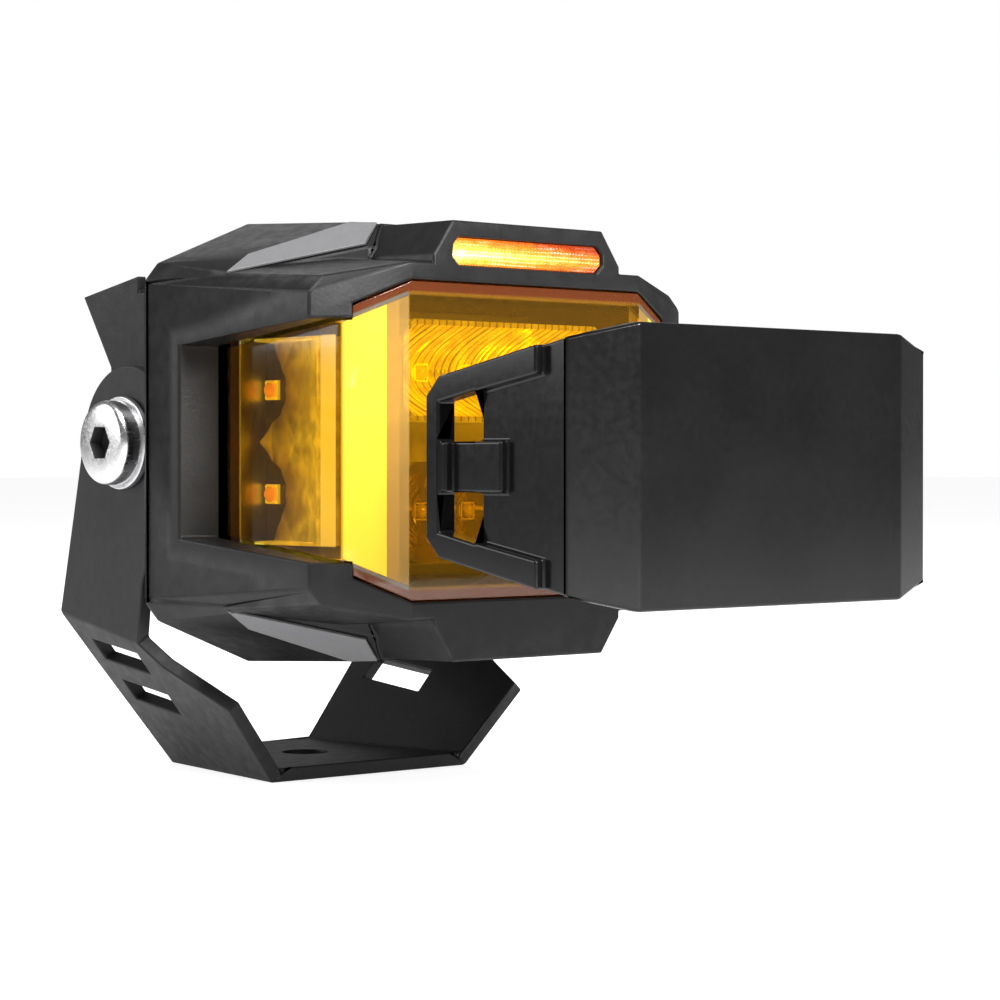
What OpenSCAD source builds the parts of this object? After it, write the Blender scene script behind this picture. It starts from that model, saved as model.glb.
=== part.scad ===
// Side-shooting LED fog light on a folded steel bracket, with a push-on lens cover.
// Millimetres. +Z up, the light shines along -Y, the origin is the foot hole at its underside.

/* [Lamp head] */
// Height of the tilt axis above the underside of the foot
axis_z = 60.3; // [58:0.1:64]
// Distance of the flat front face ahead of the tilt axis
face_y = 63.3; // [62:0.1:65]
// Half width of the flat front face
face_half_w = 26; // [24:0.5:27]
// Distance of the bezel's rear edge ahead of the tilt axis
bezel_rear = 15; // [14.5:0.1:16]
// Half height of the hump that holds the marker light
hump_half_h = 36.8; // [36:0.1:38]
// Wall thickness of the bezel casting
bezel_wall = 2; // [1.8:0.1:2.4]

/* [Lens] */
// Half height of the main window in the front face
window_half_h = 26.6; // [25.5:0.1:27]
// Wall thickness of the lens
lens_wall = 2.4; // [2:0.1:2.8]
// Half width across the two side faces of the lens
lens_half_w = 37.5; // [37:0.1:38]
// Half width of the marker light
marker_half_w = 17; // [15:0.5:17]
// Height of the marker light
marker_h = 4.7; // [4:0.1:5]

/* [Rear housing] */
// Half width of the finned housing
housing_half_w = 36; // [34:0.5:36.2]
// Half height of the finned housing
housing_half_h = 30; // [28:0.5:31]
// Thickness of one cooling fin
fin_t = 1.8; // [1.5:0.1:2.2]
// Distance between cooling fins
fin_pitch = 6.2; // [5.8:0.1:6.4]

/* [Bracket] */
// Thickness of the bracket's steel sheet
sheet_t = 2.5; // [2:0.1:2.5]
// Half width over the two ears
ear_half_w = 40; // [40:0.1:40.5]
// Radius of the round end of an ear
ear_r = 13.8; // [12:0.1:13.8]
// Diameter of the foot hole, clearance for an M8 bolt
foot_hole_d = 8.5; // [8.4:0.1:9]
// Diameter of the pivot bolts
bolt_d = 8; // [8:0.01:8.02]
// Diameter of the bolt heads
bolt_head_d = 15; // [13:0.5:16]

/* [Cover] */
// Half height of the cover's front panel
cover_half_h = 21.5; // [20:0.5:22]
// Half width of the cover's front panel
cover_half_w = 29.3; // [28:0.1:29.5]
// Wall thickness of the cover
cover_wall = 1.9; // [1.6:0.1:2]
// Distance that the cover is pulled forwards
cover_pull = 54.4; // [45:0.1:60]
// Distance that the cover drops as it is pulled off
cover_drop = 4.3; // [0:0.1:4.3]

/* [Hidden] */
$fn = 48;

eps = 0.01;
steel_black = [0.13, 0.13, 0.13];
casting_black = [0.2, 0.2, 0.2];
amber = [0.95, 0.65, 0.1, 0.5];
gold = [1, 0.82, 0.1];
board_green = [0.2, 0.25, 0.2];

// Head: outlines shared by the bezel and what is inside it
edge_y = face_y - 6.4;
edge_x = 42.3;
rear_x = 46;
rear_outline = [[24.5, 38.8], [43.5, 31], [rear_x, 28]];
edge_outline = [[26, 28.6], [39.6, 26.9], [edge_x, 24.2]];
face_outline = [[face_half_w, 29.5]];
hump_outline = [[17, hump_half_h], [21.2, 30.8], [21.2, 20]];
window_fold_y = face_y - 4.7;
window_back_y = 27.2;
side_window_front = 20;
side_window_back = 16.4;

// Flat facet beside the hump that carries a trim plate, corner by corner from the hump outwards
trim_inner = [15.9, -42.9, 37.5];
trim_lower = [20.9, -45.9, 33.1];
trim_tip = [42.5, -33, 27.9];
trim_outer = [37.5, -32.1, 31.2];
trim_upper = [19.1, -38.7, 37.9];
trim_corners = [trim_inner, trim_lower, trim_tip, trim_outer, trim_upper];
trim_cross = cross(trim_lower - trim_inner, trim_tip - trim_inner);
trim_normal = trim_cross / norm(trim_cross);
trim_t = 0.6;

flange_t = 3;
seat_y = bezel_rear + flange_t + 1;
chamber_half_w = 35.3;
housing_back = 2;
fin_reach = 20;
fin_waist = 11;
first_fin_x = 9.6;
boss_x = 36.5;
boss_r = 11;
thread_depth = 12;
pedestal_w = 24;
pedestal_h = 15;
pedestal_y = 21.6;
board_y = 9;
post_x = 25;
post_z = 20;
screw_x = 39.4;
screw_z = 22;
screw_d = 3;
screw_head_d = 5.4;
screw_head_h = 1.7;
gland_z = -16;
gland_r = 5;
cable_r = 2.9;
vent_z = 16;
vent_r = 2.5;

// Pivot and bracket corners, given on the +X side
ear_gap = 0.3;
ear_bore_d = bolt_d + 0.1;
washer_t = 1.2;
head_h = 4;
foot_front = [22.5, -20];
foot_back = [16.5, 20];
ear_front = [ear_half_w, -3.6, 24.6];
ear_back = [ear_half_w, 21.7, 29.3];
ear_neck_y = -4.9;
ear_neck_z = 35;
panel_notch = [37.3, -7.7, 20.5];
panel_tip = [34, -23, 13.6];
panel_rear = [33, 21.2, 20.5];
panel_normal = [-0.771, -0.116, 0.625];
panel_lean = 51.3;
panel_turn = 8.6;
slot_centres = [[35.8, 7.9, 21.6], [29.6, 7.2, 13.9]];
slot_w = 4.9;
slot_l = 16;

// Lamp core
core_y = 25.6;
core_t = 2.95;
core_half_w = 33.5;
core_half_h = 24;
board_t = 1;
board_back = 45;
led_size = 3.4;
led_h = 0.9;
row_xs = [-10.5, 0, 10.5];
trough_top = 20.5;
trough_low = 3.4;
trough_front = 57.5;
trough_half_w = 24;
side_board_x = 27;
side_board_front = 56;
side_led_y = 28.3;
side_led_z = 9;
side_half_h = 17.5;
side_front = 49.5;
side_back = 31.5;
side_reflector_w = 6.6;
bowl_r = 22.9;
bowl_root_r = 2.6;
marker_z = 31.7;
marker_back = face_y - 7;

// Cover, seated on the lens
cover_front_y = face_y + 2.9;
cover_fold_y = cover_front_y - 4.5;
cover_side_x = 40.2;
wing_front_h = 19;
wing_end_h = 14;
wing_end_y = 31.5;
wing_bar_y = 34.6;
wing_slot_y = 43;
wing_frame_y = 57;
frame_t = 1.7;
clip_half_h = 3.9;

function both(points) = concat(points, [for (i = [len(points) - 1:-1:0]) [points[i].x, -points[i].y]],
    [for (p = points) [-p.x, -p.y]], [for (i = [len(points) - 1:-1:0]) [-points[i].x, points[i].y]]);
function ring_half(d) = [[face_half_w - 0.19 * d, -(face_y - d)],
    [lens_half_w + 0.3 - d, -(window_fold_y - 0.68 * d)]];

module head() {
    translate([0, 0, axis_z]) children();
}
module four_ways() {
    for (sx = [0, 1]) for (sz = [0, 1]) mirror([sx, 0, 0]) mirror([0, 0, sz]) children();
}
module both_sides() {
    for (sx = [0, 1]) mirror([sx, 0, 0]) children();
}
// Flat slab of an outline in the X-Z plane, from y to y + t
module slab(outline, y, t) {
    translate([0, y + t, 0]) rotate([90, 0, 0]) linear_extrude(t) polygon(both(outline));
}
module corner(p) {
    translate(p - [eps, eps, eps]) cube(2 * eps);
}

// Outer form of the bezel: a block that steps down to the front, and the hump across its top
module bezel_block() {
    hull() {
        slab(rear_outline, -bezel_rear - 1, 1);
        four_ways() for (p = trim_corners) corner(p);
    }
    hull() {
        slab([[24.5, 33], [43.5, 29.5], [rear_x, 27]], -bezel_rear - 1, 1);
        slab(edge_outline, -edge_y, 0.1);
        slab(face_outline, -face_y, 0.1);
    }
    hull() {
        slab(hump_outline, -face_y, 0.1);
        slab([[14.6, 37.8], [20, 32], [20, 20]], -bezel_rear - 1, 1);
    }
}
// The room inside the bezel: a shallow seat for the housing's flange, then the lamp chamber
module bezel_room() {
    slab([[22, 35], [41.5, 28.6], [43, 26.8]], -seat_y, seat_y - bezel_rear + 1);
    hull() {
        slab([[22, 30.5], [chamber_half_w, 26]], -seat_y - 1, 2);
        slab([[25.6, 27.4], [chamber_half_w, 24.8]], -window_fold_y + 1.5, 0.1);
        slab([[25.6, 27.2]], -face_y + bezel_wall, 0.1);
    }
}
function mirrored(points) = concat(points, [for (i = [len(points) - 1:-1:0]) [-points[i].x, points[i].y]]);

// The window as seen from the front, enlarged by g
module front_window(g) {
    step_x = 35.4;
    rotate([90, 0, 0]) linear_extrude(face_y + 6) polygon(both([
        [face_half_w - 0.3, window_half_h + g], [step_x + g, 22.3 + g], [step_x + g, side_window_front + g],
        [lens_half_w + 0.6 + g, side_window_front + g]]));
}
// The same window as seen from the side, enlarged by g
module side_window(g) {
    fold = window_fold_y + 0.4;
    rotate([90, 0, 90]) linear_extrude(120, center = true) polygon([
        [-face_y - 6, 40], [-fold, 40], [-fold, side_window_front + g],
        [-window_back_y + g, side_window_back + g], [-window_back_y + g, -side_window_back - g],
        [-fold, -side_window_front - g], [-fold, -40], [-face_y - 6, -40]]);
}
// A wrapped sheet that follows the lens from depth d1 to depth d2 behind its outer face
module wrap(d1, d2) {
    difference() {
        linear_extrude(70, center = true)
            polygon(mirrored(concat(ring_half(d1), [[lens_half_w + 0.3 - d1, -window_back_y]])));
        linear_extrude(72, center = true)
            polygon(mirrored(concat(ring_half(d2), [[lens_half_w + 0.3 - d2, -window_back_y + 1]])));
    }
}
// The recess in a side wall, with its slanted rear wall
module side_recess() {
    inner_x = chamber_half_w - 1;
    hull() {
        translate([inner_x, 0, 0]) recess_face(window_back_y);
        translate([rear_x + 2, 0, 0]) recess_face(window_back_y - 3.6);
    }
}
module recess_face(back) {
    rotate([90, 0, 90]) linear_extrude(0.1) polygon([[-face_y - 4, 20.9], [-back, side_window_back],
        [-back, -side_window_back], [-face_y - 4, -20.9]]);
}
module marker_shape(g) {
    cut = 1.4;
    w = marker_half_w + g;
    h = marker_h / 2 + g;
    polygon(both([[w - cut, h], [w, h - cut]]));
}

module front_bezel() {
    color(casting_black) head() {
        difference() {
            bezel_block();
            bezel_room();
            front_window(0);
            both_sides() side_recess();
            translate([0, -marker_back, marker_z]) rotate([90, 0, 0]) linear_extrude(20) marker_shape(0);
            screw_places() cylinder(d = screw_d - 0.5, h = 12);
        }
    }
}
// Thin plates on the four slanted facets beside the humps
module corner_trims() {
    inset = 0.9;
    middle = (trim_inner + trim_upper + trim_outer + trim_lower) / 4;
    color([0.55, 0.55, 0.56]) head() four_ways() hull() {
        for (p = trim_corners) {
            edge = p + inset * (middle - p) / norm(middle - p);
            corner(edge + 0.15 * trim_normal);
            corner(edge + trim_t * trim_normal);
        }
    }
}

// Lens: one wrapped amber moulding with a thin rim behind the bezel
module lens() {
    color(amber) head() {
        intersection() {
            wrap(0.3, 0.3 + lens_wall);
            front_window(-0.3);
            side_window(-0.3);
        }
        intersection() {
            wrap(bezel_wall + 0.2, 0.3 + lens_wall);
            front_window(0.5);
            lens_front_zone();
        }
    }
}
module lens_front_zone() {
    translate([-40, -face_y - 1, -40]) cube([80, face_y - window_fold_y + 1, 80]);
}
module lens_gasket() {
    color([0.1, 0.1, 0.1]) head() intersection() {
        wrap(0.4 + lens_wall, 1.6 + lens_wall);
        difference() {
            front_window(0.5);
            front_window(-1.5);
        }
        lens_front_zone();
    }
}
module marker_lens() {
    color([1, 0.45, 0.05, 0.6]) head() translate([0, -face_y + 0.4 + 2.4, marker_z]) rotate([90, 0, 0])
        linear_extrude(2.4) marker_shape(-0.1);
}
module marker_board() {
    color(board_green) head() translate([0, -marker_back - 0.5, marker_z])
        cube([2 * marker_half_w - 4, board_t, marker_h - 0.6], center = true);
}
module marker_leds() {
    color(gold) head() for (i = [-3:3]) translate([i * 4.4, -marker_back - board_t - 0.5, marker_z])
        cube([2.4, led_h, 2.4], center = true);
}

// Rear housing: flange, box, pedestal for the lamp core, pivot bosses and fins
module rear_housing() {
    box = [[24, housing_half_h + 1], [housing_half_w, housing_half_h - 3]];
    room = [[21, housing_half_h - 2], [housing_half_w - 3, housing_half_h - 6]];
    color(casting_black) head() difference() {
        union() {
            difference() {
                union() {
                    slab([[21.5, 34.5], [41, 28.2], [42.6, 26.4]], -bezel_rear - flange_t, flange_t);
                    slab(box, -bezel_rear - eps, bezel_rear + housing_back);
                }
                slab(room, -bezel_rear - flange_t - 1, bezel_rear + flange_t);
            }
            pedestal();
            for (sx = [-1, 1]) for (sz = [-1, 1]) translate([sx * post_x, 0, sz * post_z]) rotate([90, 0, 0])
                cylinder(r = 2.6, h = board_y - board_t);
            both_sides() translate([boss_x - thread_depth - 2, 0, 0]) rotate([0, 90, 0])
                cylinder(r = boss_r - 3, h = thread_depth + 1);
            both_sides() translate([housing_half_w - 2, 0, 0]) rotate([0, 90, 0])
                cylinder(r = boss_r, h = boss_x - housing_half_w + 2);
            both_sides() for (i = [0:3]) translate([first_fin_x + i * fin_pitch, 0, 0]) fin();
            both_sides() translate([housing_half_w - fin_t, 0, 0]) fin();
        }
        both_sides() translate([boss_x - thread_depth, 0, 0]) rotate([0, 90, 0])
            cylinder(d = bolt_d, h = thread_depth + 1);
        screw_places() {
            translate([0, 0, -1]) cylinder(d = screw_d + 0.4, h = 10);
            translate([0, 0, -1]) cylinder(d = screw_head_d + 0.4, h = screw_head_h + 1.1);
        }
        translate([0, housing_back + 1, gland_z]) rotate([90, 0, 0]) cylinder(r = gland_r + 0.1, h = 10);
        translate([0, housing_back + 1, vent_z]) rotate([90, 0, 0]) cylinder(r = vent_r + 0.1, h = 10);
    }
}
module pedestal() {
    translate([-pedestal_w / 2, -pedestal_y, -pedestal_h / 2])
        cube([pedestal_w, pedestal_y + housing_back, pedestal_h]);
}
module fin() {
    rotate([90, 0, 90]) linear_extrude(fin_t) polygon([[housing_back - eps, housing_half_h],
        [fin_reach, housing_half_h - 3], [fin_waist, ear_r], [fin_waist, -ear_r],
        [fin_reach, 3 - housing_half_h], [housing_back - eps, -housing_half_h]]);
}
// The four screw axes through the flange, with local +Z running forwards from the flange's rear face
module screw_places() {
    for (sx = [-1, 1]) for (sz = [-1, 1]) translate([sx * screw_x, -bezel_rear, sz * screw_z])
        rotate([90, 0, 0]) children();
}
module housing_screws() {
    color(steel_black) head() screw_places() difference() {
        union() {
            translate([0, 0, 0.1]) cylinder(d = screw_head_d, h = screw_head_h);
            translate([0, 0, 0.1]) cylinder(d = screw_d - 0.5, h = 11);
        }
        cylinder(d = 2.4, h = 2.2, center = true, $fn = 6);
    }
}
module housing_gasket() {
    color([0.35, 0.1, 0.08]) head() difference() {
        slab([[21.3, 34.2], [40.8, 28], [42.3, 26.2]], -seat_y + 0.05, seat_y - bezel_rear - flange_t - 0.1);
        slab([[22, 31], [36, 26.6]], -seat_y - 1, 5);
        screw_places() cylinder(d = screw_d + 0.4, h = 10);
    }
}
module cable_gland() {
    color([0.08, 0.08, 0.08]) head() translate([0, housing_back, gland_z]) rotate([-90, 0, 0]) difference() {
        union() {
            translate([0, 0, -6]) cylinder(r = gland_r, h = 7);
            translate([0, 0, 0.1]) cylinder(r = gland_r + 2.6, h = 2.9, $fn = 6);
            cylinder(r = gland_r + 0.4, h = 7);
        }
        translate([0, 0, -7]) cylinder(r = cable_r + 0.1, h = 20);
    }
}
module gland_nut() {
    color([0.08, 0.08, 0.08]) head() translate([0, housing_back + 3.4, gland_z]) rotate([-90, 0, 0])
        rotate_extrude() polygon([[gland_r + 0.5, 0], [gland_r + 2.2, 0], [gland_r + 2.2, 5.5],
            [cable_r + 1.6, 9.5], [cable_r + 0.1, 9.5], [cable_r + 0.1, 4], [gland_r + 0.5, 4]]);
}
module breather_vent() {
    color([0.5, 0.5, 0.5]) head() translate([0, housing_back, vent_z]) rotate([-90, 0, 0]) {
        translate([0, 0, -4]) cylinder(r = vent_r, h = 4.2);
        translate([0, 0, 0.1]) cylinder(r = vent_r + 2.2, h = 2.2);
    }
}

// Lamp core: plate, carrier, boards, light sources and reflectors
module heat_pad() {
    color([0.6, 0.6, 0.65]) head() translate([-pedestal_w / 2, -pedestal_y - 1, -pedestal_h / 2])
        cube([pedestal_w, 0.95, pedestal_h]);
}
module core_plate() {
    color([0.6, 0.6, 0.6]) head() translate([-core_half_w, -core_y, -core_half_h])
        cube([2 * core_half_w, core_t, 2 * core_half_h]);
}
module led_carrier() {
    color([0.6, 0.6, 0.6]) head() {
        translate([-trough_half_w, -board_back, -trough_top - 0.5])
            cube([2 * trough_half_w, 2.6, 2 * trough_top + 1]);
        translate([-16, -board_back, -5]) cube([32, board_back - core_y - 0.05, 10]);
    }
}
module row_board(sz) {
    head() translate([-trough_half_w, -board_back - board_t - 0.05, sz > 0 ? trough_low : -trough_top])
        cube([2 * trough_half_w, board_t, trough_top - trough_low]);
}
module upper_led_board() {
    color(board_green) row_board(1);
}
module lower_led_board() {
    color(board_green) row_board(-1);
}
module led() {
    translate([-led_size / 2, -led_size / 2, 0]) cube([led_size, led_size, led_h]);
    translate([0, 0, led_h - eps]) rotate_extrude($fn = 24) intersection() {
        circle(r = led_size / 2 - 0.2);
        square(led_size);
    }
}
module row_leds(sz) {
    head() for (x = row_xs) translate([x, -board_back - board_t - 0.1, sz * (trough_top + trough_low) / 2])
        rotate([90, 0, 0]) led();
}
module upper_leds() {
    color(gold) row_leds(1);
}
module lower_leds() {
    color(gold) row_leds(-1);
}
// A trough that opens forwards from its board, with cut corners
module trough(sz) {
    back = -board_back - board_t - 0.1;
    mid = (trough_top + trough_low) / 2;
    half = (trough_top - trough_low) / 2;
    head() translate([0, 0, sz * mid]) difference() {
        slab([[trough_half_w - 3, half], [trough_half_w, half - 3]], -trough_front, trough_front + back);
        hull() {
            slab([[trough_half_w - 4, half - 0.9], [trough_half_w - 1, half - 3.6]],
                -trough_front - 0.1, 0.1);
            slab([[trough_half_w - 6, 2.6], [trough_half_w - 5, 1.8]], back - 0.1, 0.4);
        }
    }
}
module upper_reflector() {
    color(gold) trough(1);
}
module lower_reflector() {
    color(gold) trough(-1);
}
module side_board() {
    head() translate([side_board_x, -side_board_front, -side_half_h])
        cube([board_t, side_board_front - core_y - 0.05, 2 * side_half_h]);
}
module side_board_left() {
    color(board_green) mirror([1, 0, 0]) side_board();
}
module side_board_right() {
    color(board_green) side_board();
}
module side_leds() {
    head() for (sz = [-1, 1]) translate([side_board_x + board_t + 0.05, -side_led_y, sz * side_led_z])
        rotate([0, 90, 0]) led();
}
module side_leds_left() {
    color(gold) mirror([1, 0, 0]) side_leds();
}
module side_leds_right() {
    color(gold) side_leds();
}
// The front halves of two bowls around the light sources, with a cusp between them
module side_reflector() {
    x = side_board_x + board_t + 0.1;
    head() difference() {
        translate([x, -side_front, -side_half_h])
            cube([side_reflector_w, side_front - side_back, 2 * side_half_h]);
        for (sz = [-1, 1]) translate([x - eps, -side_led_y, sz * side_led_z]) rotate([0, 90, 0])
            cylinder(r1 = bowl_root_r, r2 = bowl_r, h = side_reflector_w);
    }
}
module side_reflector_left() {
    color(gold) mirror([1, 0, 0]) side_reflector();
}
module side_reflector_right() {
    color(gold) side_reflector();
}
module driver_board() {
    color([0.05, 0.3, 0.12]) head() translate([0, -board_y + board_t / 2, 0]) difference() {
        cube([2 * post_x + 8, board_t, 2 * post_z + 8], center = true);
        cube([pedestal_w + 2, 5, pedestal_h + 2], center = true);
    }
}
module driver_parts() {
    y = -board_y - 0.05;
    color([0.15, 0.15, 0.16]) head() {
        translate([-19, y, 13]) rotate([90, 0, 0]) cylinder(r = 4, h = 7);
        translate([-19, y, -13]) rotate([90, 0, 0]) cylinder(r = 4, h = 7);
        translate([-3, y - 4, 14]) cube([10, 4, 8]);
        translate([15, y - 1.6, -16]) cube([7, 1.6, 9]);
        translate([15, y - 3, 4]) cube([8, 3, 12]);
    }
}

// Pivot: a bolt through each ear, with a washer outside and a spacer inside
module pivot(x) {
    head() translate([x, 0, 0]) rotate([0, 90, 0]) children();
}
module pivot_bolts() {
    head_x = ear_half_w + ear_gap + washer_t;
    color([0.9, 0.9, 0.9]) both_sides() pivot(0) difference() {
        union() {
            translate([0, 0, head_x]) cylinder(d1 = bolt_head_d, d2 = bolt_head_d - 1, h = head_h);
            translate([0, 0, boss_x - thread_depth + 1])
                cylinder(d = bolt_d, h = head_x - boss_x + thread_depth);
        }
        translate([0, 0, head_x + head_h - 2.6]) cylinder(r = 3.06, h = 5, $fn = 6);
    }
}
module bolt_washers() {
    color([0.75, 0.75, 0.75]) both_sides() pivot(ear_half_w + ear_gap) difference() {
        cylinder(d = bolt_head_d + 1.6, h = washer_t);
        translate([0, 0, -1]) cylinder(d = bolt_d, h = 5);
    }
}
module pivot_spacers() {
    color([0.08, 0.08, 0.08]) both_sides() pivot(boss_x) difference() {
        cylinder(r = boss_r - 1, h = ear_half_w - sheet_t - boss_x - ear_gap);
        translate([0, 0, -1]) cylinder(d = bolt_d, h = 5);
    }
}

// Bracket: flat foot, two slanted panels and two upright ears
module foot_bracket() {
    color(steel_black) difference() {
        union() {
            linear_extrude(sheet_t) polygon([foot_front, foot_back, [-foot_back.x, foot_back.y],
                [-foot_front.x, foot_front.y]]);
            both_sides() {
                panel([ear_front, panel_notch, panel_rear, ear_back]);
                panel([panel_notch, panel_tip, [foot_front.x, foot_front.y, 0],
                    [foot_back.x, foot_back.y, 0], panel_rear]);
                translate([ear_half_w - sheet_t, 0, 0]) rotate([90, 0, 90]) linear_extrude(sheet_t) {
                    translate([0, axis_z]) circle(r = ear_r);
                    polygon([[ear_front.y, ear_front.z], [ear_back.y, ear_back.z],
                        touch([ear_back.y, ear_back.z], 1), touch([ear_neck_y, ear_neck_z], -1),
                        [ear_neck_y, ear_neck_z]]);
                }
            }
        }
        translate([0, 0, -1]) cylinder(d = foot_hole_d, h = sheet_t + 2);
        both_sides() pivot(ear_half_w - sheet_t - 2) cylinder(d = ear_bore_d, h = sheet_t + 4);
        both_sides() for (p = slot_centres) translate(p) rotate([0, -panel_lean, panel_turn])
            rotate([0, 0, -panel_turn]) cube([slot_w, slot_l, 16], center = true);
    }
}
// A flat panel between outer corners, thickened inwards by the sheet thickness
module panel(points) {
    hull() for (p = points) {
        corner(p);
        corner(p + (sheet_t - eps) * panel_normal);
    }
}
// Where a line from point p touches the round end of the ear
function touch(p, side) = let (d = [p.x, p.y - axis_z], a = atan2(d.y, d.x) + side * acos(ear_r / norm(d)))
    [ear_r * cos(a), axis_z + ear_r * sin(a)];

// Cover: a wrapped shield whose wings slide into the side recesses
module lens_cover() {
    color([0.05, 0.05, 0.05]) head() translate([0, -cover_pull, -cover_drop]) difference() {
        union() {
            intersection() {
                cover_sheet(0, cover_wall);
                cover_outline();
            }
            both_sides() intersection() {
                translate([cover_side_x - eps, -wing_frame_y, -30])
                    cube([frame_t, wing_frame_y - wing_end_y, 60]);
                cover_outline();
            }
        }
        both_sides() {
            side_cut(cover_side_x, frame_t + 1) polygon([[-wing_frame_y - 5, 14.6], [-wing_bar_y, 10],
                [-wing_bar_y, -10], [-wing_frame_y - 5, -14.6]]);
            side_cut(cover_side_x - cover_wall - 1, 10)
                polygon([[-wing_slot_y, 11.6], [-wing_bar_y, 10], [-wing_bar_y, -10],
                    [-wing_slot_y, -11.6]]);
        }
    }
    color([0.05, 0.05, 0.05]) head() translate([0, -cover_pull, -cover_drop]) both_sides() clip();
}
// The springy strip that bridges each wing's opening and snaps over the recess edge
module clip() {
    translate([0, 0, -clip_half_h]) linear_extrude(2 * clip_half_h) {
        translate([cover_side_x - 0.2, -wing_bar_y - 1.6]) square([frame_t, 2]);
        translate([cover_side_x - cover_wall, -wing_slot_y - 0.5])
            square([cover_wall, wing_slot_y - wing_bar_y + 1]);
        translate([cover_side_x - 0.2, -wing_slot_y - 6]) square([frame_t, 6.4]);
    }
}
module side_cut(x, depth) {
    translate([x, 0, 0]) rotate([90, 0, 90]) linear_extrude(depth) children();
}
module cover_sheet(d1, d2) {
    difference() {
        linear_extrude(50, center = true)
            polygon(mirrored(concat(cover_half(d1), [[cover_side_x - d1, -wing_end_y]])));
        linear_extrude(52, center = true)
            polygon(mirrored(concat(cover_half(d2), [[cover_side_x - d2, -wing_end_y + 1]])));
    }
}
function cover_half(d) = [[cover_half_w - 0.2 * d, -(cover_front_y - d)],
    [cover_side_x - d, -(cover_fold_y - 0.67 * d)]];
// The cover's outline from the side and from the front
module cover_outline() {
    intersection() {
        rotate([90, 0, 0]) linear_extrude(200, center = true)
            polygon(both([[cover_half_w, cover_half_h], [cover_side_x, wing_front_h],
                [cover_side_x + 4, wing_front_h]]));
        rotate([90, 0, 90]) linear_extrude(200, center = true) polygon([
            [-cover_front_y - 1, cover_half_h], [-cover_fold_y, cover_half_h],
            [-cover_fold_y + 0.1, wing_front_h], [-wing_end_y - 3, wing_end_h],
            [-wing_end_y, wing_end_h - 3], [-wing_end_y, 3 - wing_end_h], [-wing_end_y - 3, -wing_end_h],
            [-cover_fold_y + 0.1, -wing_front_h], [-cover_fold_y, -cover_half_h],
            [-cover_front_y - 1, -cover_half_h]]);
    }
}

foot_bracket();
pivot_bolts();
bolt_washers();
pivot_spacers();
rear_housing();
housing_gasket();
housing_screws();
breather_vent();
cable_gland();
gland_nut();
front_bezel();
corner_trims();
lens();
lens_gasket();
heat_pad();
core_plate();
led_carrier();
upper_led_board();
lower_led_board();
upper_leds();
lower_leds();
upper_reflector();
lower_reflector();
side_board_left();
side_board_right();
side_leds_left();
side_leds_right();
side_reflector_left();
side_reflector_right();
marker_lens();
marker_board();
marker_leds();
driver_board();
driver_parts();
lens_cover();
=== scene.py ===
import math

import bmesh
import bpy
from mathutils import Matrix, Vector
from mathutils.bvhtree import BVHTree


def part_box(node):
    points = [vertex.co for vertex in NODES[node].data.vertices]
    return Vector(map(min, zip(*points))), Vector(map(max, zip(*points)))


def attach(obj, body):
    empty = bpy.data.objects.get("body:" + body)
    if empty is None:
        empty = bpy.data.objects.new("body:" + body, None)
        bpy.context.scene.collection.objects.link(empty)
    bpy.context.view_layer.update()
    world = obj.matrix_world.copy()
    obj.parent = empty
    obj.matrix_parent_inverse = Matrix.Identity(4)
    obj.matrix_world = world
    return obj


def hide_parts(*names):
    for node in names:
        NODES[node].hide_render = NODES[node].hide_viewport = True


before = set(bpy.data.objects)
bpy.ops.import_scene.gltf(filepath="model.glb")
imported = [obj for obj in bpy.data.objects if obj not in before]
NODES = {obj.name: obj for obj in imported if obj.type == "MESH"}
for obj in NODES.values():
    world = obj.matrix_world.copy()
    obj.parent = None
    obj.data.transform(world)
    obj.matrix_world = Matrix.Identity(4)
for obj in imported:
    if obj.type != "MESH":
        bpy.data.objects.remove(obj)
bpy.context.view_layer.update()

SCENE = bpy.context.scene
MM = 0.001
AXIS_Z = 0.0603


# ---------------------------------------------------------------- camera, light and floor
def place_camera():
    data = bpy.data.cameras.new("camera")
    data.lens = 98.64
    data.sensor_width = 36
    camera = bpy.data.objects.new("camera", data)
    camera.location = (-0.3115, -0.4114, 0.056)
    camera.rotation_euler = (math.radians(89.31), 0, math.radians(-41.2))
    SCENE.collection.objects.link(camera)
    SCENE.camera = camera


def soft_box(name, place, aim, width, height, power):
    data = bpy.data.lights.new(name, "AREA")
    data.shape = "RECTANGLE"
    data.size, data.size_y = width, height
    data.energy = power
    lamp = bpy.data.objects.new(name, data)
    lamp.location = place
    lamp.rotation_euler = (Vector(aim) - Vector(place)).to_track_quat("-Z", "Y").to_euler()
    SCENE.collection.objects.link(lamp)


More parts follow.
